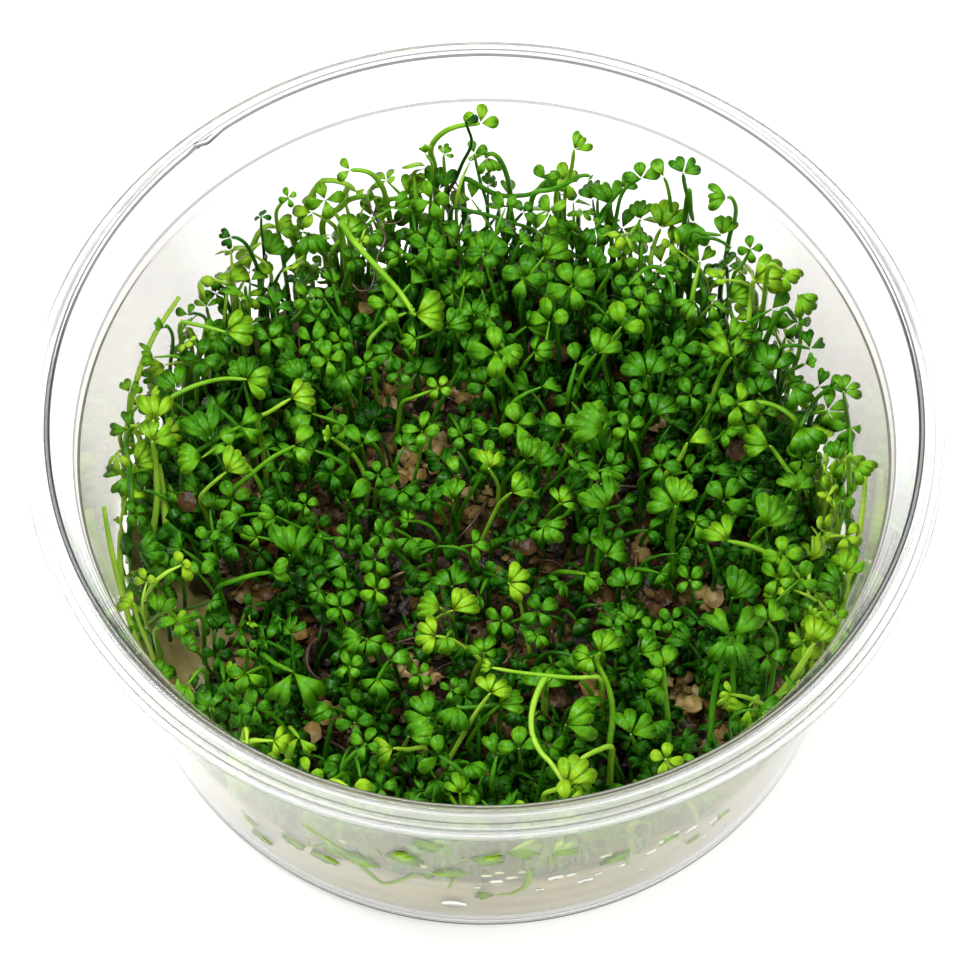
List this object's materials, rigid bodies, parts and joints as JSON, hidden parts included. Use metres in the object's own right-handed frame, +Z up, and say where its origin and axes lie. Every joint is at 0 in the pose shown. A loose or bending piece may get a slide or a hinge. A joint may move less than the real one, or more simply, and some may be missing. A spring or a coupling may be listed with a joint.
{
  "type": "potted water clover in a culture cup",
  "caption": "Mat of small water clover fronds growing on pale gel in a clear, round, open plastic cup with a rolled rim.",
  "frame": {"origin": "middle of the cup's underside", "axes": "+Z up along the cup's axis, -Y towards the viewer's side, +X to the viewer's right"},
  "size_m": [0.1, 0.1, 0.0462],
  "materials": {
    "clear_plastic": "clear moulded plastic, glossy",
    "gel": "pale beige translucent gel, wet",
    "litter": "wet dead leaves and roots, brown",
    "stem": "living stem, yellow green, slightly glossy",
    "leaf": "living leaf, bright green, slightly glossy"
  },
  "bodies": {
    "root": {"cup": "clear_plastic", "gel": "gel", "litter": "litter", "runner_left": "stem", "runner_front_left": "stem", "runner_right": "stem", "tuft_01": "leaf", "tuft_02": "leaf", "tuft_03": "leaf", "tuft_04": "leaf", "tuft_05": "leaf", "tuft_06": "leaf", "tuft_07": "leaf", "tuft_08": "leaf", "tuft_09": "leaf", "tuft_10": "leaf", "tuft_11": "leaf", "tuft_12": "leaf", "tuft_13": "leaf", "tuft_14": "leaf", "tuft_15": "leaf", "tuft_16": "leaf", "tuft_17": "leaf", "tuft_18": "leaf", "tuft_19": "leaf"}
  },
  "joints": []
}
